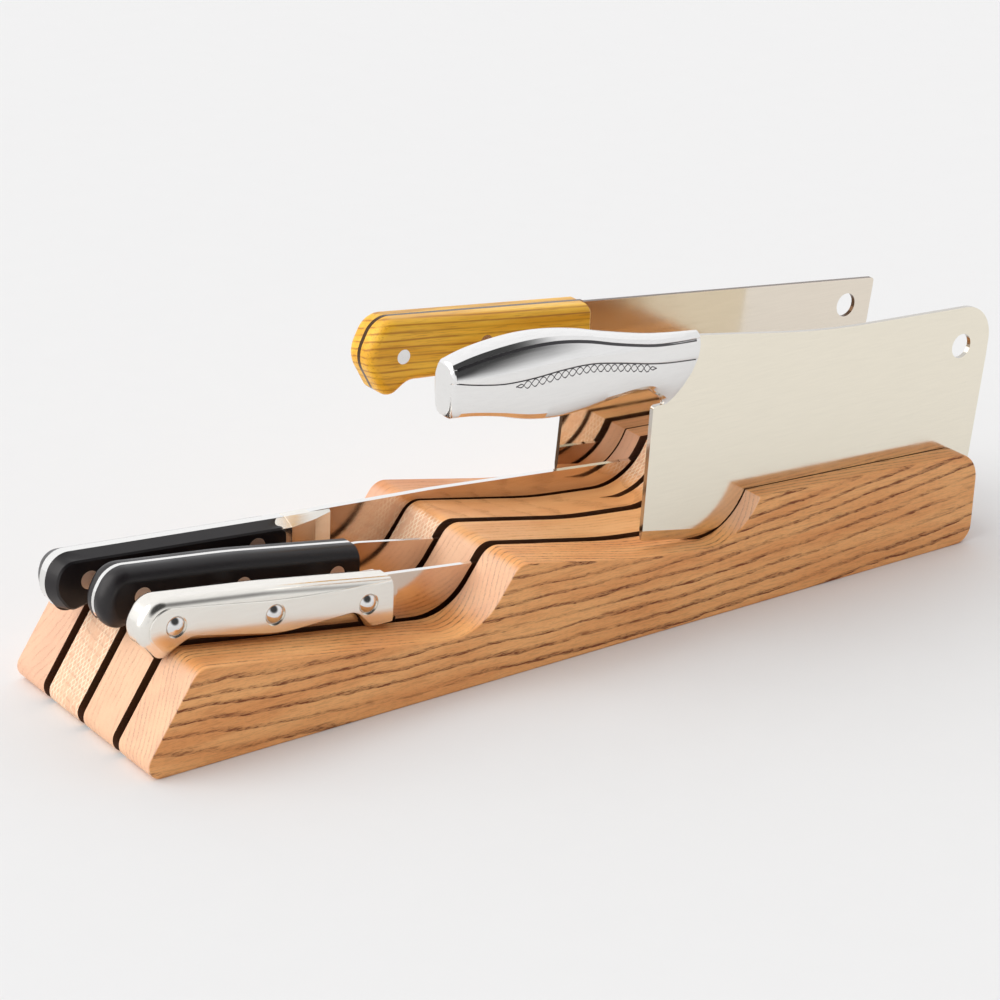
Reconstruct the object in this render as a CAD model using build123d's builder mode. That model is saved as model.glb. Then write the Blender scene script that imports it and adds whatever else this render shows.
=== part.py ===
from build123d import *
from math import asin, atan, degrees
import os

# Knife block for a drawer or worktop, with the five knives it holds.
#
# Frame: +X runs along the block from the handle end to the tall end, +Y runs across it from the
# slat with the steel cleaver to the slat with the wooden cleaver, +Z is up, and the origin is the
# middle of the block's underside. All sizes are millimetres.
#
# Every side outline below is written as (distance from the block's front foot, height above the
# table), and side() moves it into the frame.

# ---- driving dimensions of the block ----
BLOCK_L = 370.0        # length along X
SLAT_T = 19.0          # thickness of one oak slat
SLOT_W = 4.0           # gap between two slats, which takes a long knife
KERF_W = 2.6           # saw kerf down the middle of a slat, which takes a cleaver
FLOOR_H = 5.0          # height of the strips that close the slots at the bottom
SLAT_COUNT = 4
PITCH = SLAT_T + SLOT_W
BLOCK_W = SLAT_COUNT * SLAT_T + (SLAT_COUNT - 1) * SLOT_W
EASE = 0.6             # eased edge of the outer slats

# ---- driving dimensions of the knives ----
CLEAVER_T = 1.8        # blade thickness of both cleavers
CHEF_TANG_T = 3.6
CHEF_BLADE_T = 2.8
CARVING_T = 1.6
UTILITY_T = 2.0
CHEF_RIVET_R = 3.3
CARVING_RIVET_R = 3.1
WOOD_RIVET_R = 2.7
EDGE_T = 0.5           # what a ground blade still measures at its cutting edge
BEVEL_H = 4.0          # height of the bevel ground along a cleaver's cutting edge
CLEAR = 20.0           # cutters start and end this far outside the piece that they cut
HANG_HOLE_R = 4.8      # hanging hole near a cleaver's far top corner

# ---- planes that the knives stand in ----
Y_NEAR = -BLOCK_W / 2


def slat_mid(index):
    """Middle of a slat, counted from the near side."""
    return Y_NEAR + index * PITCH + SLAT_T / 2


def slot_mid(index):
    """Middle of the slot behind the slat of the same number."""
    return Y_NEAR + index * PITCH + SLAT_T + SLOT_W / 2


Y_STEEL_CLEAVER = slat_mid(0)
Y_WOOD_CLEAVER = slat_mid(3)
Y_UTILITY = slot_mid(0)
Y_CARVING = slot_mid(1)
Y_CHEF = slot_mid(2)


def side(*points):
    """Moves side outline points from the block's front foot to its middle."""
    return [(x - BLOCK_L / 2, z) for x, z in points]


def side_plane(y):
    """Plane parallel to the block's long faces at y. Extruding from it goes towards -Y."""
    return Plane.XZ.offset(-y)


def finish(builder, name):
    """Labels a finished piece and writes it."""
    builder.part.label = name
    export_step(builder.part, f"parts/{name}.step")


os.makedirs("parts", exist_ok=True)

# ---- oak block: four slats cut to one wave, on three floor strips ----

WAVE = [
    # point, then the radius of the corner there
    ((0.0, 0.0), 5.0),         # front foot
    ((22.7, 35.4), 7.0),       # top of the raked handle end
    ((133.9, 18.6), 22.0),     # foot of the first ramp
    ((150.3, 41.9), 7.0),      # crest
    ((205.0, 30.9), 180.0),    # middle tier flattens
    ((250.9, 26.4), 24.0),     # foot of the second ramp
    ((258.6, 42.9), 0.8),      # crisp corner at the start of the top tier
    ((370.0, 37.4), 12.0),     # top of the tall end
    ((370.0, 0.0), 7.0),       # rear foot
]
KERF_FLOOR = [(211.0, 32.6), (291.5, 18.6), (372.0, 13.8)]      # start, middle and end of its arc
KERF_OUTSIDE = (BLOCK_L + CLEAR, WAVE[6][0][1] + CLEAR)
SLAT_NAMES = ["slat_near", "slat_inner_near", "slat_inner_far", "slat_far"]

for index, name in enumerate(SLAT_NAMES):
    near_face = slat_mid(index) - SLAT_T / 2
    with BuildPart() as slat:
        with BuildSketch(side_plane(near_face + SLAT_T)):
            with BuildLine():
                FilletPolyline(*side(*[p for p, r in WAVE]), radius=[r for p, r in WAVE], close=True)
            make_face()
        extrude(amount=SLAT_T)
        if index == 0:
            fillet(slat.faces().sort_by(Axis.Y)[0].edges(), EASE)
        if index == SLAT_COUNT - 1:
            fillet(slat.faces().sort_by(Axis.Y)[-1].edges(), EASE)
        # the kerf runs out through the tall end and comes up through the second ramp
        with BuildSketch(side_plane(slat_mid(index) + KERF_W / 2)):
            with BuildLine():
                ThreePointArc(*side(*KERF_FLOOR))
                Polyline(*side(
                    KERF_FLOOR[2],
                    (KERF_OUTSIDE[0], KERF_FLOOR[2][1]),
                    KERF_OUTSIDE,
                    (KERF_FLOOR[0][0], KERF_OUTSIDE[1]),
                    KERF_FLOOR[0],
                ))
            make_face()
        extrude(amount=KERF_W, mode=Mode.SUBTRACT)
    finish(slat, name)

STRIP_FRONT = 14.0     # the strips stop short of the raked end, so the slots look open there
STRIP_REAR = 362.0
for index in range(SLAT_COUNT - 1):
    with BuildPart() as strip:
        with BuildSketch(side_plane(slot_mid(index) + SLOT_W / 2)):
            with BuildLine():
                Polyline(*side((STRIP_FRONT, 0), (STRIP_REAR, 0), (STRIP_REAR, FLOOR_H),
                               (STRIP_FRONT, FLOOR_H)), close=True)
            make_face()
        extrude(amount=SLOT_W)
    finish(strip, f"slot_floor_{index + 1}")


# ---- shared pieces of a riveted knife ----

def rivet_pins(name, places, y_mid, half, radius):
    """Flush rivets: plain pins across the handle, one solid each."""
    with BuildPart() as pins:
        with BuildSketch(side_plane(y_mid + half)):
            with Locations(*side(*places)):
                Circle(radius)
        extrude(amount=2 * half)
    finish(pins, name)


def faceted_half(outline, radii, y_face, layers, sign):
    """Handle side built outwards from y_face in layers of (depth, lean in degrees)."""
    with BuildPart() as half:
        with BuildSketch(side_plane(y_face)):
            with BuildLine():
                FilletPolyline(*side(*outline), radius=radii, close=True)
            make_face()
        extrude(amount=-sign * layers[0][0], taper=layers[0][1])
        for depth, lean in layers[1:]:
            outer = half.faces().sort_by(Axis.Y)[0 if sign < 0 else -1]
            extrude(outer, amount=depth, taper=lean)
    return half.part


def rounded_half(outline, radii, y_face, depth, edge_r, sign):
    """Handle side with its outer edge rounded, except across the front, where the outline is square."""
    front_x = max(x for x, z in side(*outline))
    with BuildPart() as half:
        with BuildSketch(side_plane(y_face)):
            with BuildLine():
                FilletPolyline(*side(*outline), radius=radii, close=True)
            make_face()
        extrude(amount=-sign * depth)
        outer = half.faces().sort_by(Axis.Y)[0 if sign < 0 else -1]
        fillet([edge for edge in outer.edges() if (edge @ 0.5).X < front_x - EASE], edge_r)
    return half.part


def scale_pair(stem, shape, half, places, rivet_r, y_mid):
    """The two handle scales of a full tang knife, drilled for their rivets, and the rivets.

    shape(sign) returns the scale on that side, and half is the handle's half thickness.
    """
    for word, sign in (("near", -1), ("far", 1)):
        with BuildPart() as scale:
            add(shape(sign))
            with BuildSketch(side_plane(y_mid + CLEAR)):
                with Locations(*side(*places)):
                    Circle(rivet_r)
            extrude(amount=2 * CLEAR, mode=Mode.SUBTRACT)
        finish(scale, f"{stem}_scale_{word}")
    rivet_pins(f"{stem}_rivets", places, y_mid, half, rivet_r)


# ---- chef's knife: forged blade with full tang, bolster, faceted black scales ----

CHEF_OUTLINE = [(97.0, 47.6), (6.0, 54.7), (2.2, 42.5), (9.5, 32.2), (27.0, 36.2), (97.0, 25.6)]
CHEF_RADII = [0.5, 8.0, 11.0, 6.0, 9.0, 0.5]
CHEF_SCALE_RADII = [5.0, 8.0, 11.0, 6.0, 9.0, 1.5]      # the scales are rounded at the bolster
CHEF_LAYERS = [(4.3, 24.0), (0.5, 55.0)]
CHEF_HALF = CHEF_TANG_T / 2 + sum(depth for depth, lean in CHEF_LAYERS)
CHEF_RIVETS = [(17.6, 44.4), (50.2, 42.6), (82.7, 41.2)]


def chef_scale(sign):
    """Faceted scale of the chef's knife."""
    return faceted_half(CHEF_OUTLINE, CHEF_SCALE_RADII, Y_CHEF + sign * CHEF_TANG_T / 2, CHEF_LAYERS, sign)


scale_pair("chef", chef_scale, CHEF_HALF, CHEF_RIVETS, CHEF_RIVET_R, Y_CHEF)


def plate(outline, radii, y_mid, thickness):
    """Flat plate of an outline, centred on y_mid."""
    with BuildPart() as flat:
        with BuildSketch(side_plane(y_mid + thickness / 2)):
            with BuildLine():
                FilletPolyline(*side(*outline), radius=radii, close=True)
            make_face()
        extrude(amount=thickness)
    return flat.part


def grind(x_from, heights, y_mid, thickness, edge_t):
    """Two wedges that thin a blade from full thickness at the upper height to edge_t at the lower."""
    low, high = heights
    with BuildPart() as wedges:
        with BuildSketch(Plane.YZ.offset(x_from - BLOCK_L / 2)):
            for sign in (-1, 1):
                with BuildLine():
                    Polyline(
                        (y_mid + sign * thickness / 2, high),
                        (y_mid + sign * edge_t / 2, low),
                        (y_mid + sign * thickness, low),
                        (y_mid + sign * thickness, high),
                        close=True,
                    )
                make_face()
        extrude(amount=BLOCK_L)
    return wedges.part


def riveted_blade(name, blade, radii, thickness, heel, tang, tang_radii, tang_t, y_mid, places, rivet_r):
    """Blade and full tang in one piece, ground from the heel on and drilled for its rivets.

    heel holds the x of the heel and the heights of the cutting edge and the spine.
    """
    with BuildPart() as knife:
        add(plate(blade, radii, y_mid, thickness))
        add(grind(heel[0], heel[1:], y_mid, thickness, EDGE_T), mode=Mode.SUBTRACT)
        add(plate(tang, tang_radii, y_mid, tang_t))
        with BuildSketch(side_plane(y_mid + tang_t)):
            with Locations(*side(*places)):
                Circle(rivet_r)
        extrude(amount=2 * tang_t, mode=Mode.SUBTRACT)
    finish(knife, name)


CHEF_BLADE = [(92.0, 47.4), (112.0, 46.8), (160.0, 43.8), (254.0, 35.4), (300.0, 26.0), (313.0, 19.0),
              (290.0, 10.5), (250.0, 7.2), (115.5, 6.6), (115.5, 30.0), (92.0, 30.0)]
CHEF_BLADE_RADII = [0.0, 60.0, 200.0, 120.0, 30.0, 0.5, 90.0, 200.0, 0.5, 2.0, 0.0]

riveted_blade("chef_blade", CHEF_BLADE, CHEF_BLADE_RADII, CHEF_BLADE_T, (116.0, 6.0, 49.0),
              CHEF_OUTLINE, CHEF_RADII, CHEF_TANG_T, Y_CHEF, CHEF_RIVETS, CHEF_RIVET_R)


def bolster_section(x, y_mid, half_w, top, bottom, bevel_w, bevel_h):
    """Cross section of the chef's bolster: a flat crown with bevelled shoulders."""
    with BuildSketch(Plane.YZ.offset(x - BLOCK_L / 2)) as section:
        with BuildLine():
            Polyline(
                (y_mid - half_w, bottom),
                (y_mid - half_w, top - bevel_h),
                (y_mid - half_w + bevel_w, top),
                (y_mid + half_w - bevel_w, top),
                (y_mid + half_w, top - bevel_h),
                (y_mid + half_w, bottom),
                close=True,
            )
        make_face()
    return section.sketch


# stations of the bolster: distance, half width, top, bottom, bevel width, bevel height
BOLSTER_EARS = [
    (91.5, 6.4, 47.9, 28.0, 4.6, 2.3),
    (97.0, 6.4, 47.5, 28.0, 4.6, 2.3),
]
BOLSTER_STATIONS = [
    (97.0, 6.5, 47.6, 26.0, 4.7, 2.4),
    (108.0, 4.4, 46.9, 25.0, 2.6, 1.7),
    (115.5, 2.4, 46.4, 24.5, 0.8, 0.8),
]

with BuildPart() as bolster:
    # the ears fill the corners that the rounded scales leave beside the tang
    loft([bolster_section(station[0], Y_CHEF, *station[1:]) for station in BOLSTER_EARS], ruled=True)
    for sign in (-1, 1):
        add(chef_scale(sign), mode=Mode.SUBTRACT)
    add(plate(CHEF_OUTLINE, CHEF_RADII, Y_CHEF, CHEF_TANG_T), mode=Mode.SUBTRACT)
    loft([bolster_section(station[0], Y_CHEF, *station[1:]) for station in BOLSTER_STATIONS], ruled=True)
    add(plate(CHEF_BLADE, CHEF_BLADE_RADII, Y_CHEF, CHEF_BLADE_T), mode=Mode.SUBTRACT)
finish(bolster, "chef_bolster")


# ---- carving knife: thin blade with full tang, rounded black scales, no bolster ----

CARVING_OUTLINE = [(109.5, 43.3), (60.0, 51.3), (14.5, 56.6), (7.2, 44.0), (14.0, 34.4), (31.0, 37.6),
                   (96.0, 28.6), (109.5, 24.8)]
CARVING_RADII = [0.0, 300.0, 9.0, 11.0, 7.0, 14.0, 14.0, 0.0]
CARVING_SCALE_T = 6.0
CARVING_ROUND = 4.6
CARVING_RIVETS = [(24.2, 46.0), (62.6, 40.5), (100.2, 35.6)]
CARVING_BLADE = [(105.0, 42.4), (112.0, 42.4), (146.0, 36.2), (240.0, 20.0), (262.0, 12.6),
                 (215.0, 7.0), (112.5, 13.0), (111.5, 26.0), (105.0, 27.0)]
CARVING_BLADE_RADII = [0.0, 30.0, 300.0, 60.0, 0.5, 200.0, 0.5, 2.0, 0.0]


def carving_scale(sign):
    """Rounded scale of the carving knife."""
    return rounded_half(CARVING_OUTLINE, CARVING_RADII, Y_CARVING + sign * CARVING_T / 2,
                        CARVING_SCALE_T, CARVING_ROUND, sign)


scale_pair("carving", carving_scale, CARVING_T / 2 + CARVING_SCALE_T, CARVING_RIVETS, CARVING_RIVET_R,
           Y_CARVING)
riveted_blade("carving_blade", CARVING_BLADE, CARVING_BLADE_RADII, CARVING_T, (113.0, 6.5, 42.0),
              CARVING_OUTLINE, CARVING_RADII, CARVING_T, Y_CARVING, CARVING_RIVETS, CARVING_RIVET_R)


# ---- utility knife: steel handle halves closed over a hidden tang by three domed rivets ----

UTILITY_OUTLINE = [(108.5, 40.6), (58.0, 48.8), (15.0, 54.4), (8.4, 43.0), (18.0, 31.4), (28.5, 37.2),
                   (64.0, 30.0), (94.0, 30.8), (99.5, 23.6), (108.5, 23.6)]
UTILITY_RADII = [0.0, 260.0, 8.0, 9.0, 5.0, 7.0, 60.0, 6.0, 4.0, 0.0]
UTILITY_PANEL = [(108.2, 39.8), (64.0, 43.6), (18.5, 51.6), (11.6, 44.4), (19.0, 35.0), (29.0, 39.4),
                 (64.0, 31.6), (93.0, 32.2), (100.0, 25.0), (108.2, 25.0)]
UTILITY_PANEL_RADII = [0.6, 260.0, 7.0, 6.0, 3.0, 8.0, 60.0, 6.0, 3.0, 0.6]
UTILITY_BLADE = [
    (108.5, 40.2), (148.0, 35.6), (205.0, 26.5), (231.0, 14.6),
    (190.0, 7.6), (113.0, 8.6), (113.0, 24.0), (108.5, 24.0),
]
UTILITY_BLADE_RADII = [0.0, 260.0, 60.0, 0.5, 200.0, 1.0, 1.0, 0.0]
UTILITY_TANG = [(113.4, 38.4), (20.0, 50.0), (20.0, 42.4), (64.0, 34.6), (104.0, 34.2), (113.4, 32.0)]
UTILITY_TANG_RADII = [0.0, 1.5, 1.5, 40.0, 10.0, 0.0]
UTILITY_RIVETS = [(23.4, 44.1), (61.0, 39.1), (98.1, 33.8)]
UTILITY_SHELL = 5.7          # depth of one half, measured from the knife's middle plane
UTILITY_ROUND = 3.4
UTILITY_PANEL_H = 0.5        # how far the flat panel stands out of the half
UTILITY_PANEL_ROOT = 3.0     # the panel starts this far from the middle plane, inside the half
PANEL_EDGE = (0.3, 40.0)     # depth and lean of the panel's bevelled rim
UTILITY_RIVET_R = 2.6        # hidden shank of a domed rivet
DOME_SEAT_R = 3.9
DOME_SEAT_DEPTH = 0.7
DOME_R = 3.6
DOME_SPHERE_R = 4.4

riveted_blade("utility_blade", UTILITY_BLADE, UTILITY_BLADE_RADII, UTILITY_T, (113.0, 6.5, 40.0),
              UTILITY_TANG, UTILITY_TANG_RADII, UTILITY_T, Y_UTILITY, UTILITY_RIVETS, UTILITY_RIVET_R)

UTILITY_PANEL_LAYERS = [(UTILITY_SHELL - UTILITY_PANEL_ROOT + UTILITY_PANEL_H - PANEL_EDGE[0], 0.0),
                        PANEL_EDGE]

for word, sign in (("near", -1), ("far", 1)):
    with BuildPart() as half:
        add(rounded_half(UTILITY_OUTLINE, UTILITY_RADII, Y_UTILITY, UTILITY_SHELL, UTILITY_ROUND, sign))
        add(faceted_half(UTILITY_PANEL, UTILITY_PANEL_RADII, Y_UTILITY + sign * UTILITY_PANEL_ROOT,
                         UTILITY_PANEL_LAYERS, sign))
        add(plate(UTILITY_TANG, UTILITY_TANG_RADII, Y_UTILITY, UTILITY_T), mode=Mode.SUBTRACT)
        face_y = Y_UTILITY + sign * (UTILITY_SHELL + UTILITY_PANEL_H)
        with BuildSketch(side_plane(face_y)):
            with Locations(*side(*UTILITY_RIVETS)):
                Circle(DOME_SEAT_R)
        extrude(amount=sign * DOME_SEAT_DEPTH, mode=Mode.SUBTRACT)
        with BuildSketch(side_plane(Y_UTILITY + CLEAR)):
            with Locations(*side(*UTILITY_RIVETS)):
                Circle(UTILITY_RIVET_R)
        extrude(amount=2 * CLEAR, mode=Mode.SUBTRACT)
    finish(half, f"utility_handle_{word}")

with BuildPart() as domes:
    seat_y = UTILITY_SHELL + UTILITY_PANEL_H - DOME_SEAT_DEPTH
    with BuildSketch(side_plane(Y_UTILITY + seat_y)):
        with Locations(*side(*UTILITY_RIVETS)):
            Circle(UTILITY_RIVET_R)
    extrude(amount=2 * seat_y)
    sink = (DOME_SPHERE_R**2 - DOME_R**2) ** 0.5
    dome_top = DOME_SPHERE_R - sink
    dome_angle = degrees(asin(DOME_R / DOME_SPHERE_R))
    for sign, start in ((-1, -90.0), (1, 90.0 - dome_angle)):
        for x, z in side(*UTILITY_RIVETS):
            with BuildSketch(Plane((x, Y_UTILITY + sign * seat_y, z))):
                with BuildLine():
                    CenterArc((0, -sign * sink), DOME_SPHERE_R, start, dome_angle)
                    Polyline((0, sign * dome_top), (0, 0), (DOME_R, 0))
                make_face()
            revolve(axis=Axis((x, Y_UTILITY, z), (0, 1, 0)))
finish(domes, "utility_rivets")


# ---- the cleavers' common dimension ----

BELLY_R = 420.0              # radius of the cutting edge, a little tighter than the kerf floor

# ---- wooden cleaver: full tang, striped wood scales, stands in the far slat's kerf ----

WOOD_OUTLINE = [(234.5, 98.7), (141.2, 108.9), (134.2, 95.0), (143.5, 78.2), (153.0, 84.4),
                (214.0, 79.4), (229.0, 74.0), (234.5, 80.0)]
WOOD_RADII = [0.0, 9.0, 11.0, 5.0, 8.0, 30.0, 4.5, 0.0]
WOOD_SCALE_T = 6.5
WOOD_ROUND = 3.6
WOOD_FRONT_CUT = 1.6         # chamfer across the front of a scale
WOOD_RIVETS = [(149.8, 94.5), (186.0, 93.4), (221.0, 89.8)]
WOOD_BLADE = [(230.0, 98.6), (382.6, 82.4), (374.6, 14.6), (301.0, 17.2), (226.0, 31.4), (229.5, 78.0),
              (225.0, 82.0)]
WOOD_BLADE_RADII = [0.0, 1.5, 2.0, BELLY_R, 1.0, 3.0, 0.0]
WOOD_EDGE = [WOOD_BLADE[4], WOOD_BLADE[3], WOOD_BLADE[2]]
WOOD_HOLE = (368.3, 73.3)


def wood_scale(sign):
    """Rounded scale of the wooden cleaver, chamfered across its front."""
    with BuildPart() as scale:
        add(rounded_half(WOOD_OUTLINE, WOOD_RADII, Y_WOOD_CLEAVER + sign * CLEAVER_T / 2, WOOD_SCALE_T,
                         WOOD_ROUND, sign))
        front = scale.faces().sort_by(Axis.X)[-1]
        chamfer(front.edges().sort_by(Axis.Y)[0 if sign < 0 else -1], WOOD_FRONT_CUT)
    return scale.part


scale_pair("wood_cleaver", wood_scale, CLEAVER_T / 2 + WOOD_SCALE_T, WOOD_RIVETS, WOOD_RIVET_R,
           Y_WOOD_CLEAVER)


# ---- steel cleaver: hollow handle of two welded halves, stands in the near slat's kerf ----

STEEL_BLADE = [(226.0, 108.0), (292.0, 97.5), (378.6, 93.2), (377.2, 72.0), (371.6, 14.6),
               (292.0, 18.0), (211.0, 33.0), (212.7, 84.0), (217.0, 84.0), (225.0, 92.0)]
STEEL_BLADE_RADII = [0.0, 400.0, 14.0, 120.0, 2.0, BELLY_R, 1.0, 1.5, 0.0, 0.0]
STEEL_EDGE = [STEEL_BLADE[6], STEEL_BLADE[5], STEEL_BLADE[4]]
STEEL_TONGUE = [(228.0, 103.4), (196.0, 106.0), (196.0, 97.0), (214.0, 92.0), (228.0, 86.0)]
STEEL_TONGUE_RADII = [0.0, 1.5, 1.5, 12.0, 0.0]
STEEL_HOLE = (363.3, 78.6)


def bevel_cutter(heel, belly, toe, y_mid, sign):
    """Wedge that grinds the bevel on one side of a cleaver's cutting edge.

    Its top follows the edge BEVEL_H higher, and it shrinks by as much on the way into the blade.
    """
    depth = (CLEAVER_T - EDGE_T) / 2
    heel_rise = (heel[1] - belly[1]) / (belly[0] - heel[0])
    toe_drop = (belly[1] - toe[1]) / (toe[0] - belly[0])
    outline = [
        (heel[0] - CLEAR, heel[1] + heel_rise * CLEAR + BEVEL_H),
        (belly[0], belly[1] + BEVEL_H),
        (toe[0] + CLEAR, toe[1] - toe_drop * CLEAR + BEVEL_H),
        (toe[0] + CLEAR, toe[1] - CLEAR),
        (heel[0] - CLEAR, toe[1] - CLEAR),
    ]
    with BuildPart() as cutter:
        with BuildSketch(side_plane(y_mid + sign * CLEAVER_T / 2)):
            with BuildLine():
                FilletPolyline(*side(*outline), radius=[0.0, BELLY_R, 0.0, 0.0, 0.0], close=True)
            make_face()
        extrude(amount=sign * depth, taper=degrees(atan(BEVEL_H / depth)))
    return cutter.part


def cleaver_blade(name, outline, radii, edge, y_mid, hole, root, root_radii, places):
    """Cleaver blade with its hanging hole, its ground edge, and its tang or tongue.

    edge holds the outline points at the heel, the belly's corner and the toe.
    """
    with BuildPart() as blade:
        add(plate(outline, radii, y_mid, CLEAVER_T))
        for sign in (-1, 1):
            add(bevel_cutter(*edge, y_mid, sign), mode=Mode.SUBTRACT)
        add(plate(root, root_radii, y_mid, CLEAVER_T))
        with BuildSketch(side_plane(y_mid + CLEAVER_T)):
            with Locations(*side(hole)):
                Circle(HANG_HOLE_R)
            if places:
                with Locations(*side(*places)):
                    Circle(WOOD_RIVET_R)
        extrude(amount=2 * CLEAVER_T, mode=Mode.SUBTRACT)
    finish(blade, name)


cleaver_blade("wood_cleaver_blade", WOOD_BLADE, WOOD_BLADE_RADII, WOOD_EDGE, Y_WOOD_CLEAVER, WOOD_HOLE,
              WOOD_OUTLINE, WOOD_RADII, WOOD_RIVETS)
cleaver_blade("steel_cleaver_blade", STEEL_BLADE, STEEL_BLADE_RADII, STEEL_EDGE, Y_STEEL_CLEAVER,
              STEEL_HOLE, STEEL_TONGUE, STEEL_TONGUE_RADII, [])

# stations along the handle: distance, heights of crown, shoulder, waist and belly, half width
STEEL_STATIONS = [
    (122.0, 118.2, 116.2, 112.6, 97.5, 6.2),
    (131.5, 120.1, 117.8, 111.6, 97.3, 7.4),
    (142.0, 121.4, 119.2, 110.6, 95.3, 8.2),
    (154.0, 121.8, 119.9, 110.8, 91.9, 8.6),
    (166.0, 120.8, 119.2, 111.4, 90.1, 8.6),
    (178.0, 118.6, 117.0, 110.0, 90.3, 8.2),
    (191.0, 115.2, 113.3, 107.2, 91.6, 7.4),
    (206.0, 111.7, 109.3, 103.3, 92.2, 6.4),
    (214.0, 110.2, 108.0, 101.7, 88.0, 5.9),
    (238.0, 106.9, 105.2, 98.0, 76.0, 4.6),
]
STEEL_WALL = 1.5


def facet_section(station, inset=0.0):
    """Twelve-sided cross section: crown, shoulder facet, waist, slab sides and a narrow belly."""
    x, crown, shoulder, waist, belly, half_w = station
    half_w -= inset
    right = [
        (half_w * 0.5, crown - 0.25 - inset),
        (half_w * 0.86, shoulder - inset),
        (half_w, waist),
        (half_w * 0.9, belly + 0.3 * (waist - belly)),
        (half_w * 0.5, belly + 0.06 * (waist - belly) + inset),
    ]
    ring = [(0.0, crown - inset)] + right + [(0.0, belly + inset)] + [(-y, z) for y, z in reversed(right)]
    with BuildSketch(Plane.YZ.offset(x - BLOCK_L / 2)) as section:
        with BuildLine():
            Polyline(*[(Y_STEEL_CLEAVER + y, z) for y, z in ring], close=True)
        make_face()
    return section.sketch


STEEL_NOSE = [(217.2, 83.6), (226.0, 91.5), (230.4, 110.0)]      # curve where handle meets blade
STEEL_NOSE_OUTSIDE = (STEEL_STATIONS[-1][0] + CLEAR, STEEL_STATIONS[-1][4] - CLEAR)

with BuildPart() as steel_shell:
    loft([facet_section(station) for station in STEEL_STATIONS])
    loft([facet_section(station, STEEL_WALL) for station in STEEL_STATIONS[1:-2]], mode=Mode.SUBTRACT)
    # the nose is cut to the curve where the handle meets the blade
    with BuildSketch(side_plane(Y_STEEL_CLEAVER + CLEAR)):
        with BuildLine():
            Spline(*side(*STEEL_NOSE))
            Polyline(*side(
                STEEL_NOSE[-1],
                (STEEL_NOSE[-1][0], STEEL_NOSE[-1][1] + CLEAR),
                (STEEL_NOSE_OUTSIDE[0], STEEL_NOSE[-1][1] + CLEAR),
                STEEL_NOSE_OUTSIDE,
                (STEEL_NOSE[0][0], STEEL_NOSE_OUTSIDE[1]),
                STEEL_NOSE[0],
            ))
        make_face()
    extrude(amount=2 * CLEAR, mode=Mode.SUBTRACT)
    add(plate(STEEL_BLADE, STEEL_BLADE_RADII, Y_STEEL_CLEAVER, CLEAVER_T), mode=Mode.SUBTRACT)
    add(plate(STEEL_TONGUE, STEEL_TONGUE_RADII, Y_STEEL_CLEAVER, CLEAVER_T), mode=Mode.SUBTRACT)

for word, keep in (("near", Keep.TOP), ("far", Keep.BOTTOM)):
    with BuildPart() as half:
        add(steel_shell.part)
        split(bisect_by=side_plane(Y_STEEL_CLEAVER), keep=keep)
    finish(half, f"steel_cleaver_handle_{word}")
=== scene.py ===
import math

import bmesh
import bpy
from mathutils import Matrix, Vector, bvhtree


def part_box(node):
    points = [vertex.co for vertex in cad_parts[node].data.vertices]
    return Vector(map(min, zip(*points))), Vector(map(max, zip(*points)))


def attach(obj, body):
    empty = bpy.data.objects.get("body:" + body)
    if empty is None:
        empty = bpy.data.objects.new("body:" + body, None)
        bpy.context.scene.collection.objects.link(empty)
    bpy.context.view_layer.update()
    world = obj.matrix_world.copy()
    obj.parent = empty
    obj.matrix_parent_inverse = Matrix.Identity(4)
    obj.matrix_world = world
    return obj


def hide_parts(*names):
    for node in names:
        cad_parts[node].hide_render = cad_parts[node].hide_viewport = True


# The knife block with its five knives: materials, floor, light and camera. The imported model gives
# every shape but the steel cleaver's handle, which is made here as one smooth shell. Lengths are
# in metres unless a comment says millimetres.

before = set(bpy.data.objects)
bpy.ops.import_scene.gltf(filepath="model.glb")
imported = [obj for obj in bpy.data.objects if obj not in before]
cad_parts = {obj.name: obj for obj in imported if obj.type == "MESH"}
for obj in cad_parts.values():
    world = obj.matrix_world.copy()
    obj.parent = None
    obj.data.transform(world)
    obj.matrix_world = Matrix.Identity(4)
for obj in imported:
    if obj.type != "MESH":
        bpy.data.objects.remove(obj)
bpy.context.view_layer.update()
cad_slats = (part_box("slat_near")[0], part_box("slat_far")[1])      # corners of the oak block

MM = 0.001


# ---- camera, light and floor ----

CAMERA_AT = Vector((-0.6091, -0.7793, 0.4584))
CAMERA_AZIMUTH = math.radians(-37.51)
CAMERA_ELEVATION = math.radians(22.85)
CAMERA_ROLL = math.radians(2.37)
CAMERA_LENS = 108.0
CAMERA_REACH = 50.0                    # how far the camera sees, in metres


def add_object(name, data):
    """Object with this data, linked into the scene."""
    made = bpy.data.objects.new(name, data)
    bpy.context.scene.collection.objects.link(made)
    return made


def add_camera():
    """Camera that looks down at the block from its handle end and near side, slightly rolled."""
    flat = math.cos(CAMERA_ELEVATION)
    towards = Vector((
        -math.sin(CAMERA_AZIMUTH) * flat,
        math.cos(CAMERA_AZIMUTH) * flat,
        -math.sin(CAMERA_ELEVATION),
    ))
    right = towards.cross(Vector((0, 0, 1))).normalized()
    up = right.cross(towards)
    turned_right = math.cos(CAMERA_ROLL) * right + math.sin(CAMERA_ROLL) * up
    turned_up = math.cos(CAMERA_ROLL) * up - math.sin(CAMERA_ROLL) * right
    data = bpy.data.cameras.new("camera")
    data.lens = CAMERA_LENS
    data.clip_end = CAMERA_REACH
    camera = add_object("camera", data)
    rotation = Matrix((turned_right, turned_up, -towards)).transposed()
    camera.matrix_world = Matrix.Translation(CAMERA_AT) @ rotation.to_4x4()
    bpy.context.scene.camera = camera


TENT_COLOUR = (0.98, 0.985, 1.0, 1.0)
TENT_LEVEL = 0.92                      # brightness all round
TENT_LEAST = 0.05                      # and its lower limit
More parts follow.
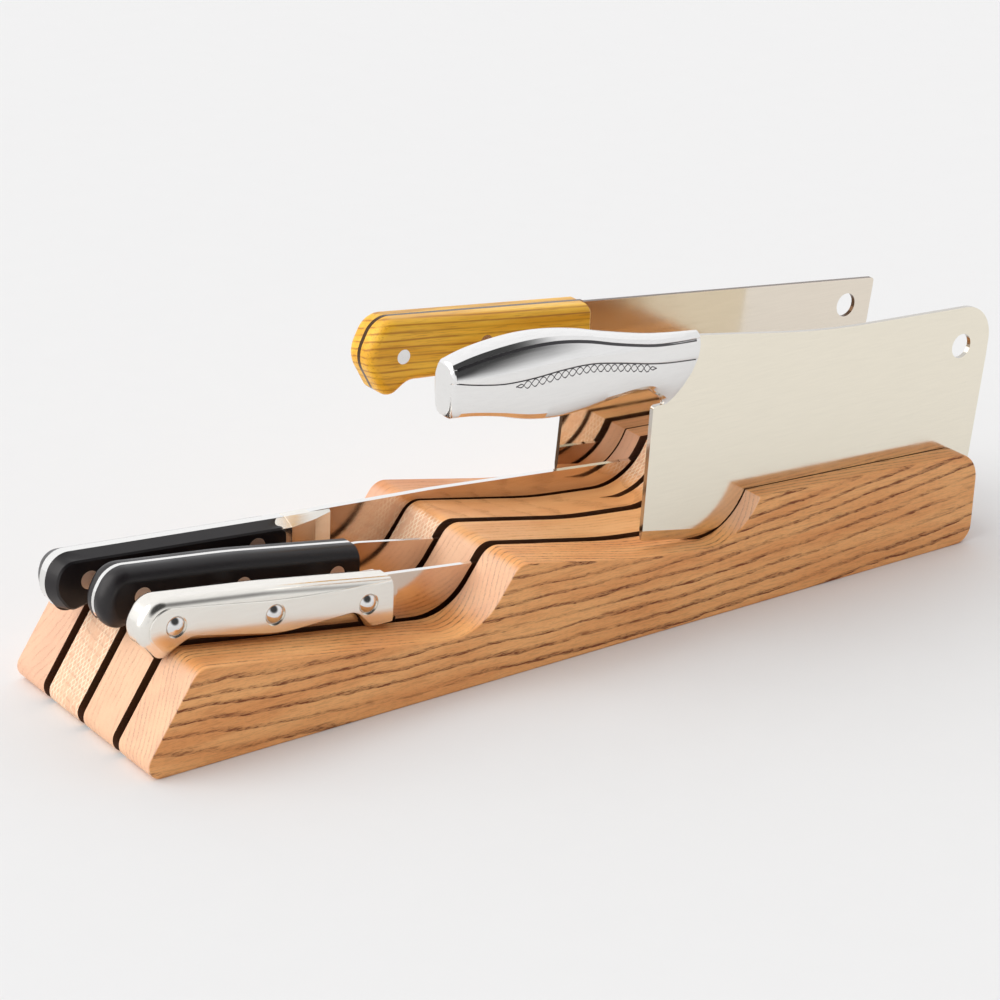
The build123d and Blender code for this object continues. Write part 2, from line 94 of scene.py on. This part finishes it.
# direction, outer and inner angle in degrees, and what the spot adds to the brightness
TENT_GLOW = ((-0.45, 0.85, 0.25), 120, 45, 0.16)
TENT_GAP = ((0.1, -0.77, 0.62), 45, 23, -0.86)
SUN_FROM = Vector((-0.79, 0.3, 0.6))
SUN_ENERGY = 1.4
SUN_ANGLE = math.radians(65.0)         # wide, so that its shadows are soft
SUN_COLOUR = (1.0, 0.97, 0.93)
FLOOR_HALF = 6.0                       # half the floor's width, in metres
FLOOR_TONE = 0.835


def smooth_spot(tree, direction, aim, outer, inner):
    """1 within inner degrees of aim, falling smoothly to 0 at outer degrees."""
    aim = Vector(aim).normalized()
    dot = add_node(tree, "ShaderNodeVectorMath", {0: direction, 1: aim}, operation="DOT_PRODUCT")
    edge, full = (math.cos(math.radians(angle)) for angle in (outer, inner))
    return spread(tree, dot.outputs["Value"], edge, full)


def add_studio():
    """Soft tent of light and a wide sun.

    The tent is brighter behind and to the left, and has a dark gap high in front.
    """
    world = bpy.data.worlds.new("studio")
    world.use_nodes = True
    tree = world.node_tree
    direction = add_node(tree, "ShaderNodeTexCoord").outputs["Generated"]
    level = TENT_LEVEL
    for aim, outer, inner, change in (TENT_GLOW, TENT_GAP):
        spot = smooth_spot(tree, direction, aim, outer, inner)
        level = calc(tree, "MULTIPLY_ADD", spot, change, level)
    level = calc(tree, "MAXIMUM", level, TENT_LEAST)
    tree.links.new(level, tree.nodes["Background"].inputs["Strength"])
    tree.nodes["Background"].inputs["Color"].default_value = TENT_COLOUR
    bpy.context.scene.world = world
    data = bpy.data.lights.new("key", "SUN")
    data.energy = SUN_ENERGY
    data.angle = SUN_ANGLE
    data.color = SUN_COLOUR
    key = add_object("key", data)
    key.rotation_euler = SUN_FROM.to_track_quat("Z", "Y").to_euler()


def add_floor(half=FLOOR_HALF, tone=FLOOR_TONE):
    """Plain pale floor."""
    data = bpy.data.meshes.new("floor")
    corners = [(-half, -half, 0), (half, -half, 0), (half, half, 0), (-half, half, 0)]
    data.from_pydata(corners, [], [(0, 1, 2, 3)])
    floor = add_object("floor", data)
    paint, tree, bsdf, place = new_material("floor_paint", Roughness=0.95, Specular_IOR_Level=0.2)
    grain = noise(tree, place, scale=60.0)
    tree.links.new(blend_colours(tree, grain, (tone, tone, tone), (tone * 0.985,) * 3),
                   bsdf.inputs["Base Color"])
    data.materials.append(paint)


# ---- small helpers for shader graphs ----

def add_node(tree, kind, inputs=None, **settings):
    """Adds a shader node. An input is given as a number, a colour or another node's socket."""
    made = tree.nodes.new(kind)
    for key, value in settings.items():
        setattr(made, key, value)
    for key, value in (inputs or {}).items():
        if isinstance(value, bpy.types.NodeSocket):
            tree.links.new(value, made.inputs[key])
        else:
            made.inputs[key].default_value = value
    return made


def calc(tree, operation, first, second=0.0, third=0.0, clamp=False):
    """Math node."""
    made = add_node(tree, "ShaderNodeMath", {0: first, 1: second, 2: third}, operation=operation)
    made.use_clamp = clamp
    return made.outputs[0]


def mapped(tree, vector, scale=(1, 1, 1), turn=(0, 0, 0), shift=(0, 0, 0)):
    """Scaled, turned and shifted coordinates. Turns are in degrees."""
    angles = [math.radians(angle) for angle in turn]
    return add_node(tree, "ShaderNodeMapping", {
        "Vector": vector, "Location": shift, "Rotation": angles, "Scale": scale,
    }).outputs["Vector"]


def noise(tree, vector, scale=1.0, detail=3.0, rough=0.55):
    """Noise between about 0 and 1."""
    return add_node(tree, "ShaderNodeTexNoise", {
        "Vector": vector, "Scale": scale, "Detail": detail, "Roughness": rough,
    }).outputs["Fac"]


def spread(tree, value, low, high, to_low=0.0, to_high=1.0):
    """Remaps value from low..high to to_low..to_high, smoothly and clamped."""
    return add_node(tree, "ShaderNodeMapRange", {
        "Value": value, "From Min": low, "From Max": high, "To Min": to_low, "To Max": to_high,
    }, interpolation_type="SMOOTHSTEP").outputs["Result"]


def blend_colours(tree, factor, first, second):
    """Mix of two colours."""
    made = tree.nodes.new("ShaderNodeMix")
    made.data_type = "RGBA"
    for socket, value in ((made.inputs["Factor"], factor), (made.inputs["A"], first),
                          (made.inputs["B"], second)):
        if isinstance(value, bpy.types.NodeSocket):
            tree.links.new(value, socket)
        elif socket.name == "Factor":
            socket.default_value = value
        else:
            socket.default_value = (*value, 1.0)
    return next(out for out in made.outputs if out.type == "RGBA")


def new_material(name, **shader):
    """Material with a Principled shader. Returns the material, its tree, shader and coordinates."""
    made = bpy.data.materials.new(name)
    made.use_nodes = True
    tree = made.node_tree
    bsdf = tree.nodes["Principled BSDF"]
    for key, value in shader.items():
        socket = bsdf.inputs[key.replace("_", " ")]
        socket.default_value = (*value, 1.0) if isinstance(value, tuple) else value
    place = add_node(tree, "ShaderNodeTexCoord").outputs["Object"]
    return made, tree, bsdf, place


def bump(tree, bsdf, height, distance):
    """Adds a bump to the shader's normal. Distance is in metres."""
    made = add_node(tree, "ShaderNodeBump", {
        "Height": height, "Distance": distance, "Strength": 1.0,
    })
    tree.links.new(made.outputs["Normal"], bsdf.inputs["Normal"])


def facing(tree, axis):
    """How squarely the surface faces along an axis, from 0 to 1."""
    normal = add_node(tree, "ShaderNodeTexCoord").outputs["Normal"]
    parts = add_node(tree, "ShaderNodeSeparateXYZ", {"Vector": normal})
    return calc(tree, "ABSOLUTE", parts.outputs[axis])


# ---- wood ----

SKIN = 0.8 * MM                        # a face within this of the block's sides is an outer one
SLOT_SHADE = (0.05, 0.012, 0.005)           # painted shade: colour given to the slot and kerf walls, where the slots lie in shadow
# how far the painted shade darkens the slot and kerf walls
SLOT_SHADE_SHARE = 0.93
RAKE = (0.54, 0.84)                    # direction up the raked end, along X and Z
HATCH_LEANS = (-0.42, 0.62)            # how the two sets of flecks lean across the rake
HATCH_PITCH = 0.0019
HATCH_STRAY = 0.0016                   # how far a fleck strays from its course
WANDER = 2.2                           # growth rings that the slow waviness is worth
TREMBLE = 0.75                         # and the quick one
LINE_SHARE = 0.42                      # darkness of the growth lines at depth 1
PORE_SHARE = 0.9                       # darkness of the pores at depth 1
CUT_TONE_AND_SHEEN_SHARE = 0.58                       # how far a face cut across the grain turns pale: partly the end grain's own tone, partly painted sheen
# pale colour of the cut faces, partly their own tone and partly painted sheen
CUT_TONE_AND_SHEEN_TINT = (0.84, 0.56, 0.42)
HATCH_TINT = (1.0, 0.8, 0.58)
PORE_DEPTH = 0.00014
STRIPES_PER_METRE = 400.0


def painted_slot_shade(tree, place, colour):
    """Painted shade on the slot and kerf walls: darkens faces that look along Y, apart from the two
    outer ones.
    """
    across = add_node(tree, "ShaderNodeSeparateXYZ", {"Vector": place}).outputs["Y"]
    half_width = (cad_slats[1].y - cad_slats[0].y) / 2
    inner = calc(tree, "LESS_THAN", calc(tree, "ABSOLUTE", across), half_width - SKIN)
    wall = calc(tree, "MULTIPLY", spread(tree, facing(tree, "Y"), 0.6, 0.9), inner)
    return blend_colours(tree, calc(tree, "MULTIPLY", wall, SLOT_SHADE_SHARE), colour, SLOT_SHADE)


def cross_hatch(tree, place, colour, amount):
    """Pale ray flecks that cross each other on the raked faces, where the grain comes out."""
    raked = spread(tree, facing(tree, "X"), 0.3, 0.6)
    parts = add_node(tree, "ShaderNodeSeparateXYZ", {"Vector": place})
    # distance up the rake, and across it
    climb = calc(tree, "ADD", calc(tree, "MULTIPLY", parts.outputs["X"], RAKE[0]),
                 calc(tree, "MULTIPLY", parts.outputs["Z"], RAKE[1]))
    stray = noise(tree, mapped(tree, place, scale=(150, 150, 150)), detail=2.0)
    lines = []
    for lean in HATCH_LEANS:
        course = calc(tree, "MULTIPLY_ADD", climb, lean, parts.outputs["Y"])
        course = calc(tree, "MULTIPLY_ADD", stray, HATCH_STRAY, course)
        phase = calc(tree, "PINGPONG", calc(tree, "DIVIDE", course, HATCH_PITCH), 0.5)
        lines.append(spread(tree, phase, 0.3, 0.48))
    blotch = noise(tree, mapped(tree, place, scale=(90, 260, 90)), detail=2.0)
    patch = calc(tree, "MULTIPLY", raked, spread(tree, blotch, 0.3, 0.55))
    web = calc(tree, "MULTIPLY", calc(tree, "MAXIMUM", *lines), patch)
    return blend_colours(tree, calc(tree, "MULTIPLY", web, amount), colour, HATCH_TINT)


def oak(name, light, dark, pore, pith, ring, shift, wave=0.0, depth=1.0, hatch=0.0):
    """Oiled oak cut from a log whose pith runs along X at pith (y, z), with its rings ring apart.

    light and dark are the colours between the growth lines, and pore is that of the lines and open
    pores. shift moves the noise to another part of the log. wave bows the grain along the block, in
    metres, depth scales the contrast of the lines, and hatch that of the flecks on the raked faces.
    """
    made, tree, bsdf, place = new_material(name, Specular_IOR_Level=0.4)
    log = mapped(tree, place, shift=shift)
    own = add_node(tree, "ShaderNodeSeparateXYZ", {"Vector": place})
    along = calc(tree, "DIVIDE", own.outputs["X"], cad_slats[1].x)
    bow = calc(tree, "MULTIPLY", calc(tree, "MULTIPLY", along, along), wave)
    wander = noise(tree, mapped(tree, log, scale=(7, 26, 26)), detail=2.0)
    tremble = noise(tree, mapped(tree, log, scale=(48, 190, 190)), detail=3.0)
    across = calc(tree, "SUBTRACT", own.outputs["Y"], pith[0])
    above = calc(tree, "SUBTRACT", calc(tree, "SUBTRACT", own.outputs["Z"], bow), pith[1])
    squares = [calc(tree, "MULTIPLY", part, part) for part in (across, above)]
    radius = calc(tree, "SQRT", calc(tree, "ADD", *squares))
    count = calc(tree, "DIVIDE", radius, ring)
    count = calc(tree, "MULTIPLY_ADD", wander, WANDER, count)
    count = calc(tree, "MULTIPLY_ADD", tremble, TREMBLE, count)
    year = calc(tree, "FRACT", count)
    # early wood: starts at once, then fades over a third of the ring
    early = calc(tree, "MULTIPLY", spread(tree, year, 0.0, 0.05), spread(tree, year, 0.42, 0.1))
    strength = noise(tree, mapped(tree, log, scale=(14, 120, 120), shift=(3, 1, 2)), detail=3.0)
    early = calc(tree, "MULTIPLY", early, spread(tree, strength, 0.34, 0.56, 0.15, 1.0))
    streaks = mapped(tree, log, scale=(14, 110, 110), shift=(1, 5, 3))
    tone = noise(tree, streaks, detail=5.0, rough=0.6)
    base = blend_colours(tree, spread(tree, tone, 0.34, 0.66), light, dark)
    # open pores: short dashes along the grain, crowded in the early wood
    fine = noise(tree, mapped(tree, log, scale=(330, 3000, 3000)), detail=2.0, rough=0.6)
    coarse = noise(tree, mapped(tree, log, scale=(130, 1300, 1300)), detail=2.0, rough=0.6)
    dash = calc(tree, "MAXIMUM", spread(tree, fine, 0.52, 0.64), spread(tree, coarse, 0.52, 0.63))
    crowd = calc(tree, "MULTIPLY_ADD", early, 0.9, 0.16)
    pores = calc(tree, "MULTIPLY", dash, crowd, clamp=True)
    # the lines are strongest on the long sides, and sanded softer on the wave and the ends
    side_on = spread(tree, facing(tree, "Y"), 0.3, 0.9, 0.6, 1.0)
    pores = calc(tree, "MULTIPLY", pores, side_on)
    early = calc(tree, "MULTIPLY", early, side_on)
    colour = blend_colours(tree, calc(tree, "MULTIPLY", early, LINE_SHARE * depth), base, pore)
    stained = calc(tree, "MULTIPLY", pores, PORE_SHARE * depth, clamp=True)
    colour = blend_colours(tree, stained, colour, pore)
    # the faces cut across the grain are paler: partly their own end grain tone, partly painted
    # sheen of the light on the ends and ramps
    cut = spread(tree, facing(tree, "X"), 0.3, 0.75, 0.0, CUT_TONE_AND_SHEEN_SHARE)
    colour = blend_colours(tree, cut, colour, CUT_TONE_AND_SHEEN_TINT)
    if hatch:
        colour = cross_hatch(tree, place, colour, hatch)
    # the slot and kerf walls get painted shade
    tree.links.new(painted_slot_shade(tree, place, colour), bsdf.inputs["Base Color"])
    tree.links.new(calc(tree, "MULTIPLY_ADD", pores, 0.25, 0.44), bsdf.inputs["Roughness"])
    bump(tree, bsdf, calc(tree, "SUBTRACT", 1.0, pores), PORE_DEPTH)
    return made


def striped_wood(name):
    """Varnished golden wood with brown stripes that run along the handle."""
    made, tree, bsdf, place = new_material(
        name, Roughness=0.45, Coat_Weight=0.25, Coat_Roughness=0.2, Specular_IOR_Level=0.3)
    along = mapped(tree, place, turn=(0, -6.5, 0))
    wobble = noise(tree, mapped(tree, along, scale=(9, 60, 60)), detail=2.0)
    parts = add_node(tree, "ShaderNodeSeparateXYZ", {"Vector": along})
    bend = calc(tree, "MULTIPLY", wobble, 1.6)
    height = calc(tree, "MULTIPLY_ADD", parts.outputs["Z"], STRIPES_PER_METRE, bend)
    layer = calc(tree, "MULTIPLY_ADD", parts.outputs["Y"], 90.0, height)
    stripe = spread(tree, calc(tree, "PINGPONG", layer, 0.5), 0.3, 0.46)
    broken = noise(tree, mapped(tree, along, scale=(30, 400, 400)), detail=3.0)
    stripe = calc(tree, "MULTIPLY", stripe, spread(tree, broken, 0.35, 0.6, 0.35, 1.0))
    fibre = noise(tree, mapped(tree, along, scale=(110, 2200, 2200)), detail=3.0)
    shade = noise(tree, mapped(tree, along, scale=(20, 160, 160)), detail=2.0)
    patch = spread(tree, shade, 0.35, 0.65)
    base = blend_colours(tree, patch, (1.0, 0.58, 0.05), (0.86, 0.43, 0.02))
    colour = blend_colours(tree, calc(tree, "MULTIPLY", stripe, 0.8), base, (0.45, 0.15, 0.006))
    fibres = spread(tree, fibre, 0.5, 0.68, 0.0, 0.45)
    colour = blend_colours(tree, fibres, colour, (0.42, 0.15, 0.008))
    tree.links.new(colour, bsdf.inputs["Base Color"])
    bump(tree, bsdf, calc(tree, "SUBTRACT", 1.0, fibre), 0.00004)
    return made


# ---- metal and resin ----

WEAR = 0.25                            # share of the roughness that the brush lines vary
SMUDGE = 0.06                          # roughness that a smudge adds
BRUSH_SHADE = 0.965                    # brightness of the darker brush lines


def brushed(name, colour, rough, grain_scale, height=0.000012, rim=None):
    """Metal with fine brush lines and smudges.

    height is the depth of the lines in metres, and rim the colour of the narrow edges and spine.
    """
    made, tree, bsdf, place = new_material(name, Metallic=1.0, Roughness=rough)
    brush = noise(tree, mapped(tree, place, scale=grain_scale), detail=4.0, rough=0.7)
    smudge = noise(tree, mapped(tree, place, scale=(40, 40, 40)), detail=3.0)
    lines = spread(tree, brush, 0.3, 0.7)
    value = calc(tree, "MULTIPLY_ADD", lines, WEAR * rough, rough * (1 - WEAR / 2))
    value = calc(tree, "MULTIPLY_ADD", spread(tree, smudge, 0.35, 0.7), SMUDGE, value)
    tree.links.new(value, bsdf.inputs["Roughness"])
    darker = [c * BRUSH_SHADE for c in colour]
    shade = blend_colours(tree, spread(tree, brush, 0.35, 0.65), colour, darker)
    if rim:
        shade = blend_colours(tree, spread(tree, facing(tree, "Y"), 0.75, 0.45), shade, rim)
    tree.links.new(shade, bsdf.inputs["Base Color"])
    bump(tree, bsdf, brush, height)
    return made


def resin(name):
    """Black satin resin with a fine matte texture."""
    made, tree, bsdf, place = new_material(name, Roughness=0.36, Specular_IOR_Level=0.42)
    speck = noise(tree, place, scale=900.0, detail=3.0)
    haze = noise(tree, place, scale=60.0, detail=2.0)
    tree.links.new(blend_colours(tree, speck, (0.008, 0.006, 0.007), (0.016, 0.013, 0.014)),
                   bsdf.inputs["Base Color"])
    tree.links.new(spread(tree, haze, 0.3, 0.7, 0.28, 0.4), bsdf.inputs["Roughness"])
    bump(tree, bsdf, speck, 0.000008)
    return made


# ---- the steel cleaver's handle: one polished shell in place of its two CAD halves ----

# distance from the butt, heights of crown, shoulder, waist and belly, half widths at the shoulder
# and at the waist, all in millimetres
HANDLE_STATIONS = [
    (1.4, 118.1, 115.7, 111.4, 97.9, 4.4, 6.0),
    (9.5, 120.1, 117.2, 109.9, 97.3, 5.0, 7.2),
    (20.0, 121.4, 118.4, 108.6, 95.3, 5.4, 8.2),
    (32.0, 121.8, 119.0, 108.6, 91.9, 5.6, 8.6),
    (44.0, 120.8, 118.4, 109.2, 90.1, 5.7, 8.6),
    (56.0, 118.6, 116.4, 108.8, 90.3, 5.9, 8.2),
    (69.0, 115.2, 113.0, 106.4, 91.6, 5.9, 7.4),
    (84.0, 111.9, 109.5, 102.9, 92.2, 5.0, 6.0),
    (94.0, 110.3, 107.9, 101.0, 88.6, 3.9, 4.6),
    (108.2, 108.9, 106.3, 98.9, 83.6, 1.9, 2.3),
]
NOSE_X = (95.2, 104.0, 108.4)          # the nose curve: distances from the butt ...
NOSE_Z = (83.6, 91.5, 110.0)           # ... at these heights
NOSE_FROM = 84.0                       # the handle bends towards the nose curve from here on
HANDLE_STEPS = 110
CREASE = 0.28                          # reach of the creases above the shoulder, below the waist
SHOULDER_CUT = 0.14                    # depth of the crease at the shoulder
WAIST_CUT = 0.168                      # and at the waist
HANDLE_SHARP = math.radians(24)        # edges that bend more than this stay crisp
# shares of the half width and of the height, from crown to shoulder and from waist to belly
CROWN_ARC = ((0.0, 0.0), (0.45, 0.1), (0.8, 0.38))
BELLY_ARC = ((0.99, 0.3), (0.95, 0.6), (0.87, 0.8), (0.68, 0.93), (0.4, 0.99), (0.0, 1.0))
FLANK = (0.04, 0.2, 0.4, 0.6, 0.8, 0.94)        # shares of the way from shoulder to waist
BUTT_ROUND = ((0.1, 0.55), (0.25, 0.78), (0.6, 0.9), (1.0, 0.96))   # distance, share of the width
BUTT_HEIGHT = 0.55                     # the butt shrinks by this share as much in height


def smooth_table(rows, steps):
    """Catmull-Rom interpolation of a table of rows, spaced by the first column."""
    result = []
    for step in range(steps + 1):
        at = (len(rows) - 1) * step / steps
        index = min(int(at), len(rows) - 2)
        t = at - index
        nearby = [rows[max(0, min(len(rows) - 1, index + k))] for k in (-1, 0, 1, 2)]
        result.append([
            0.5 * (2 * b + (c - a) * t
                   + (2 * a - 5 * b + 4 * c - d) * t**2
                   + (3 * b - a - 3 * c + d) * t**3)
            for a, b, c, d in zip(*nearby)])
    return result


def nose_at(z):
    """Distance of the nose curve from the butt at height z: a parabola through three points."""
    total = 0.0
    for i in range(3):
        part = NOSE_X[i]
        for j in range(3):
            if j != i:
                part *= (z - NOSE_Z[j]) / (NOSE_Z[i] - NOSE_Z[j])
        total += part
    return total


def handle_profile(crown, shoulder, waist, belly, wide_shoulder, wide_waist):
    """Half of a cross section, from crown to belly, as (distance from the middle, height)."""
    points = [(out * wide_shoulder, crown - fall * (crown - shoulder)) for out, fall in CROWN_ARC]
    points += [(wide_shoulder, shoulder + CREASE), (wide_shoulder - SHOULDER_CUT, shoulder)]
    for fall in FLANK:
        # leans out under the shoulder and turns upright at the waist
        lean = math.sin(fall * math.pi / 2) ** 0.9
        out = wide_shoulder + (wide_waist - wide_shoulder) * lean
        points.append((out, shoulder - fall * (shoulder - waist)))
    points += [(wide_waist - WAIST_CUT, waist), (wide_waist, waist - CREASE)]
    points += [(out * wide_waist, waist - fall * (waist - belly)) for out, fall in BELLY_ARC]
    return points


def steel_handle(look):
    """Lofted shell of the steel handle, with a rounded butt and crisp shoulder and waist lines."""
    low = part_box("steel_cleaver_handle_near")[0]
    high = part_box("steel_cleaver_handle_far")[1]
    mid_y = (low.y + high.y) / 2
    rows = smooth_table(HANDLE_STATIONS, HANDLE_STEPS)
    first = rows[0]
    # the butt is rounded by a few shrunken sections
    sections = []
    centre = (first[1] + first[4]) / 2
    for x, shrink in BUTT_ROUND:
        tall = 1 - (1 - shrink) * BUTT_HEIGHT
        heights = [centre + (value - centre) * tall for value in first[1:5]]
        sections.append([x] + heights + [value * shrink for value in first[5:]])
    sections += rows
    form = bmesh.new()
    rings = []
    for x, *sizes in sections:
        half = handle_profile(*sizes)
        ring = half + [(-y, z) for y, z in reversed(half[1:-1])]
        verts = []
        for y, z in ring:
            at = x
            if x > NOSE_FROM:
                share = (x - NOSE_FROM) / (HANDLE_STATIONS[-1][0] - NOSE_FROM)
                at = NOSE_FROM + (nose_at(z) - NOSE_FROM) * share
            verts.append(form.verts.new((low.x + at * MM, mid_y + y * MM, z * MM)))
        rings.append(verts)
    for ring, after in zip(rings, rings[1:]):
        for i in range(len(ring)):
            k = (i + 1) % len(ring)
            form.faces.new((ring[i], ring[k], after[k], after[i]))
    form.faces.new(rings[0][::-1])
    form.faces.new(rings[-1])
    bmesh.ops.recalc_face_normals(form, faces=form.faces[:])
    data = bpy.data.meshes.new("steel_handle_shell")
    form.to_mesh(data)
    form.free()
    data.shade_smooth()
    data.set_sharp_from_angle(angle=HANDLE_SHARP)
    data.materials.append(look)
    shell = add_object("steel_handle_shell", data)
    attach(shell, "steel_cleaver")
    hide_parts("steel_cleaver_handle_near", "steel_cleaver_handle_far")
    return shell


# all in millimetres
RIBBON_PROUD = 0.04                    # how far the dark lines stand out of the polish: painted shade along the creases, and the rope pattern
RAY_START = 20.0                       # the lines are laid on from this far outside
SHOULDER_LINE = (0.35, 0.42)           # drop below the shoulder, half width
WAIST_LINE = (0.1, 0.16)               # drop below the waist, half width
ROPE_HALF = 0.17                       # half width of a rope wave
ROPE_FADE = 4.0                        # the waves grow to their full swing over this length
BAND = (24.0, 87.0, 6.3, 1.3, 1.7)     # start, end, period, swing and drop below the waist
BAND_STEPS = 260


def lay_ribbon(form, tree, low, mid_y, side, path, half_width):
    """Adds a thin strip to form that lies on one side of the handle and follows path."""
    last = None
    for x, z in path:
        pair = []
        for lift in (-half_width, half_width):
            origin = Vector((low.x + x * MM, mid_y + side * RAY_START * MM, (z + lift) * MM))
            hit = tree.ray_cast(origin, Vector((0, -side, 0)))[0]
            pair.append(form.verts.new(hit + Vector((0, side * RIBBON_PROUD * MM, 0))))
        if last:
            form.faces.new((last[0], pair[0], pair[1], last[1]))
        last = pair


def handle_crease_shade_and_rope(shell, look):
    """Dark lines on both sides of the handle.

    Along the creases at shoulder and waist they are painted shade, laid on as near black strips;
    the others make a rope pattern of two crossing waves.
    """
    tree = bvhtree.BVHTree.FromPolygons([v.co for v in shell.data.vertices],
                                        [p.vertices for p in shell.data.polygons])
    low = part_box("steel_cleaver_handle_near")[0]
    mid_y = (low.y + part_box("steel_cleaver_handle_far")[1].y) / 2
    rows = smooth_table(HANDLE_STATIONS, HANDLE_STEPS)
    shoulder = [(row[0], row[2] - SHOULDER_LINE[0]) for row in rows[2:-1]]
    waist = [(row[0], row[3] - WAIST_LINE[0]) for row in rows[2:-1]]
    start, end, period, swing, drop = BAND
    waves = ([], [])
    for step in range(BAND_STEPS + 1):
        x = start + (end - start) * step / BAND_STEPS
        row = min(rows, key=lambda station: abs(station[0] - x))
        wave = swing * math.sin(2 * math.pi * (x - start) / period)
        wave *= min(1.0, (x - start) / ROPE_FADE, (end - x) / ROPE_FADE)
        for points, flip in zip(waves, (-1, 1)):
            points.append((x, row[3] - drop + flip * wave))
    form = bmesh.new()
    for side in (-1, 1):
        # the strips along shoulder and waist are painted shade of the creases
        lay_ribbon(form, tree, low, mid_y, side, shoulder, SHOULDER_LINE[1])
        lay_ribbon(form, tree, low, mid_y, side, waist, WAIST_LINE[1])
        for points in waves:
            lay_ribbon(form, tree, low, mid_y, side, points, ROPE_HALF)
    bmesh.ops.recalc_face_normals(form, faces=form.faces[:])
    data = bpy.data.meshes.new("handle_crease_shade_and_rope")
    form.to_mesh(data)
    form.free()
    data.materials.append(look)
    lines = add_object("handle_crease_shade_and_rope", data)
    solid = lines.modifiers.new("thickness", "SOLIDIFY")
    solid.thickness = 2 * RIBBON_PROUD * MM
    solid.offset = 0
    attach(lines, "steel_cleaver")


# ---- build ----

add_camera()

bpy.context.scene.view_settings.view_transform = "Standard"
bpy.context.scene.view_settings.look = "None"
add_studio()
add_floor()

# Each slat has its own tone, and the near slat and the two inner slats are also made lighter to
# make up for light they lose, the inner ones in the cleavers' shadow: painted light.
LOOKS = {
    "slat_near": oak(
        "oak_near", light=(1.0, 0.5, 0.185), dark=(0.86, 0.36, 0.115), pore=(0.23, 0.062, 0.015),
        pith=(0.16, -0.08), ring=0.0021, shift=(0, 0, 0), wave=0.012, depth=1.25),
    "slat_inner_near": oak(
        "oak_inner_near", light=(0.93, 0.5, 0.21), dark=(0.84, 0.4, 0.145),
        pore=(0.38, 0.13, 0.035),
        pith=(-0.12, 0.03), ring=0.0026, shift=(0.7, 0.02, 0.01), depth=0.6),
    "slat_inner_far": oak(
        "oak_inner_far", light=(0.92, 0.47, 0.185), dark=(0.82, 0.37, 0.13),
        pore=(0.38, 0.13, 0.035),
        pith=(0.02, -0.09), ring=0.003, shift=(1.3, 0.05, 0.03), depth=0.5, hatch=0.9),
    "slat_far": oak(
        "oak_far", light=(0.86, 0.42, 0.19), dark=(0.76, 0.32, 0.13), pore=(0.38, 0.13, 0.045),
        pith=(0.09, 0.04), ring=0.003, shift=(2.1, 0.0, 0.06), depth=0.5),
}
# the strips on the slot floors are near black: painted shade deep in the slots
slot_floor_shade_look = oak(
    "oak_strip_painted_shade", light=(0.1, 0.035, 0.014), dark=(0.06, 0.02, 0.008), pore=(0.03, 0.01, 0.004),
    pith=(0.05, -0.05), ring=0.004, shift=(0.4, 0, 0))
# the blades' broad faces are tinted warm brown for the wood they reflect: painted reflection; the
# edges and spine stay pale grey
blade_look_painted_reflection = brushed(
    "blade_satin_painted_reflection", (0.68, 0.56, 0.47), 0.07, (60, 900, 2400), height=0.000002,
    rim=(0.84, 0.83, 0.81))
# the wooden cleaver's blade is tinted warm and darker for the wood it reflects: painted reflection
far_cleaver_look_painted_reflection = brushed(
    "far_cleaver_satin_painted_reflection", (0.84, 0.76, 0.65), 0.06, (70, 900, 2200), height=0.000002,
    rim=(0.1, 0.055, 0.03))
cleaver_look = brushed(
    "cleaver_satin", (0.9, 0.84, 0.71), 0.13, (70, 900, 2200), height=0.000003,
    rim=(0.55, 0.52, 0.47))
polished_look = brushed(
    "polished_steel", (0.87, 0.86, 0.845), 0.1, (120, 500, 1500), height=0.000003)
handle_look = brushed("satin_handle", (0.88, 0.85, 0.79), 0.17, (60, 900, 1800), height=0.000005)
resin_look = resin("black_resin")
yellow_look = striped_wood("striped_wood")
brass_look = brushed("rivet_brass", (0.95, 0.78, 0.66), 0.5, (900, 900, 900))
rivet_look = brushed("rivet_steel", (0.8, 0.79, 0.78), 0.12, (600, 600, 600))

# the slot floors take the near black oak, which is painted shade
for index in (1, 2, 3):
    LOOKS[f"slot_floor_{index}"] = slot_floor_shade_look
LOOKS.update({
    "chef_blade": blade_look_painted_reflection, "carving_blade": blade_look_painted_reflection, "utility_blade": blade_look_painted_reflection,
    "wood_cleaver_blade": far_cleaver_look_painted_reflection, "steel_cleaver_blade": cleaver_look,
    "chef_bolster": handle_look,
    "utility_handle_near": handle_look, "utility_handle_far": handle_look,
    "steel_cleaver_handle_near": polished_look, "steel_cleaver_handle_far": polished_look,
    "chef_scale_near": resin_look, "chef_scale_far": resin_look,
    "carving_scale_near": resin_look, "carving_scale_far": resin_look,
    "wood_cleaver_scale_near": yellow_look, "wood_cleaver_scale_far": yellow_look,
    "chef_rivets": brass_look, "carving_rivets": brass_look,
    "utility_rivets": rivet_look, "wood_cleaver_rivets": rivet_look,
})
for name, look in LOOKS.items():
    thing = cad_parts[name]
    thing.data.materials.clear()
    thing.data.materials.append(look)

# near black strips: painted shade along the shoulder and waist creases, and the dark rope pattern
crease_shade_and_rope_look = brushed("painted_crease_shade_and_dark_rope", (0.11, 0.105, 0.11), 0.4, (600, 600, 600))
handle_crease_shade_and_rope(steel_handle(polished_look), crease_shade_and_rope_look)
